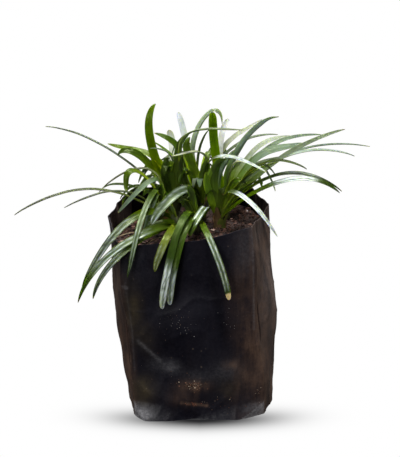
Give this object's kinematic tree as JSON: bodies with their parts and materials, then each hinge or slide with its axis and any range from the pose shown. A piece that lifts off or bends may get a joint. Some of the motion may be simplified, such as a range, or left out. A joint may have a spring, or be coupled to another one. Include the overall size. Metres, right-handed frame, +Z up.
{
  "type": "potted dwarf mondo grass",
  "caption": "Clump of dwarf mondo grass, arching strap leaves on short crowns, rooted in soil in a soft black gusseted film nursery bag that stands on its flat base",
  "frame": {"origin": "centre of the bag's flat base, on the surface that it stands on", "axes": "+Z up, -Y towards the bag's front panel, +X to the right seen from the front"},
  "size_m": [0.1784, 0.1262, 0.1479],
  "materials": {
    "film": "thin black polyethylene film, dull gloss, dusty and stained with brown soil",
    "soil": "damp red-brown potting soil with bark crumbs",
    "sheath": "dry brown leaf sheaths",
    "leaf": "glossy dark green strap leaves with fine long veins"
  },
  "bodies": {
    "root": {"bag": "film", "soil": "soil", "crown_west": "sheath", "crown_north_west": "sheath", "crown_south_west": "sheath", "crown_south": "sheath", "crown_centre": "sheath", "crown_north": "sheath", "crown_east": "sheath", "crown_north_east": "sheath", "leaves_west": "leaf", "leaves_north_west": "leaf", "leaves_south_west": "leaf", "leaves_south": "leaf", "leaves_centre": "leaf", "leaves_north": "leaf", "leaves_east": "leaf", "leaves_north_east": "leaf"}
  },
  "joints": []
}
